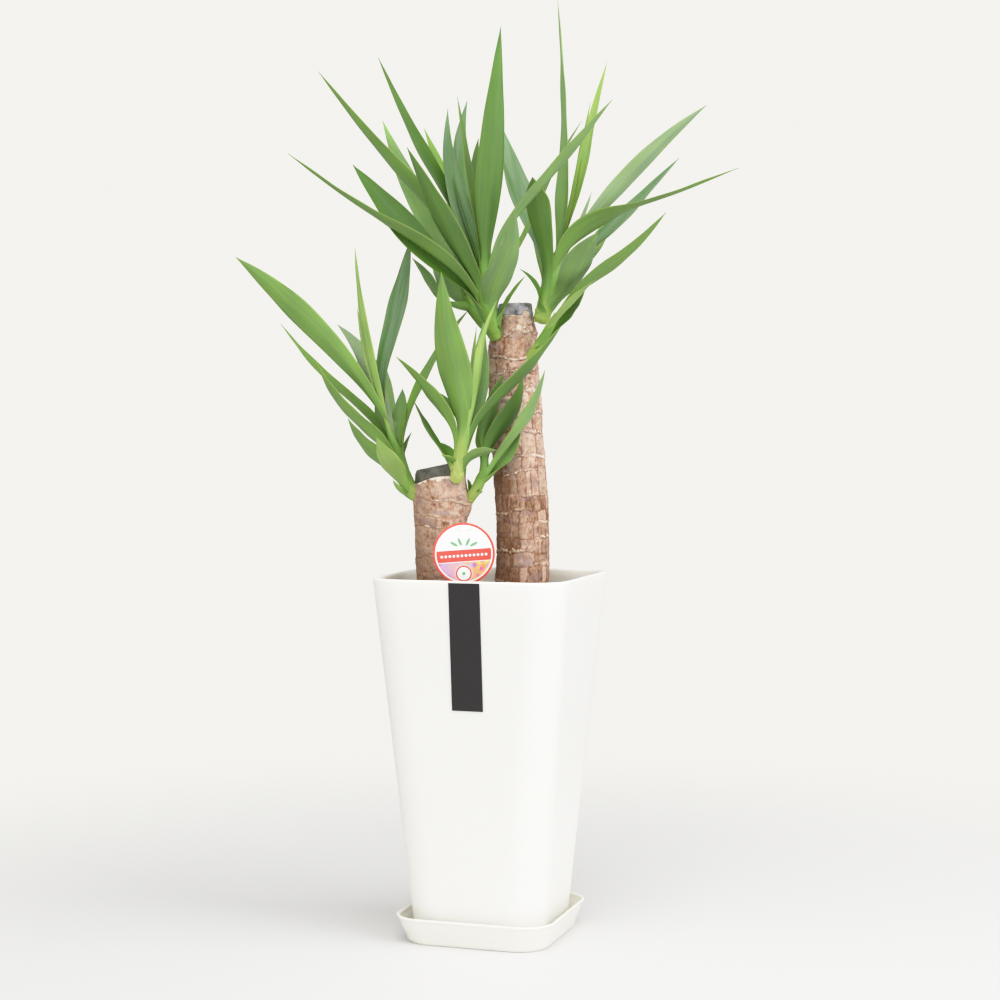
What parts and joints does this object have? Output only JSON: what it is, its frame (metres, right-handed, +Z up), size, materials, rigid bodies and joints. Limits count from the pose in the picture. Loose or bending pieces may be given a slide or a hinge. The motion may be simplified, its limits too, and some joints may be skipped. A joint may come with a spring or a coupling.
{
  "type": "potted yucca",
  "caption": "Yucca with two rooted canes and narrow leafy shoots, in a tall tapered square planter on its saucer.",
  "frame": {"origin": "centre of the saucer's underside, on the floor", "axes": "+Z up; -Y is the way the planter's banded front face looks, and the plant's own front is turned 18 degrees from it about +Z"},
  "size_m": [0.4695, 0.2658, 0.9291],
  "materials": {
    "glazed_white": "smooth, soft gloss",
    "soil": "loose, dark",
    "bark": "rough bark",
    "wax": "dark sealing wax",
    "leaf": "waxy leaf",
    "card": "printed card",
    "band": "matt print"
  },
  "bodies": {
    "root": {"saucer": "glazed_white", "pot": "glazed_white", "soil": "soil", "cane_tall": "bark", "cane_short": "bark", "seal_tall": "wax", "seal_short": "wax", "shoot_tall_left": "leaf", "shoot_tall_right": "leaf", "shoot_tall_rear": "leaf", "shoot_tall_low": "leaf", "shoot_short_left": "leaf", "shoot_short_front": "leaf", "shoot_short_right": "leaf", "plant_label": "card", "front_band": "band"}
  },
  "joints": []
}
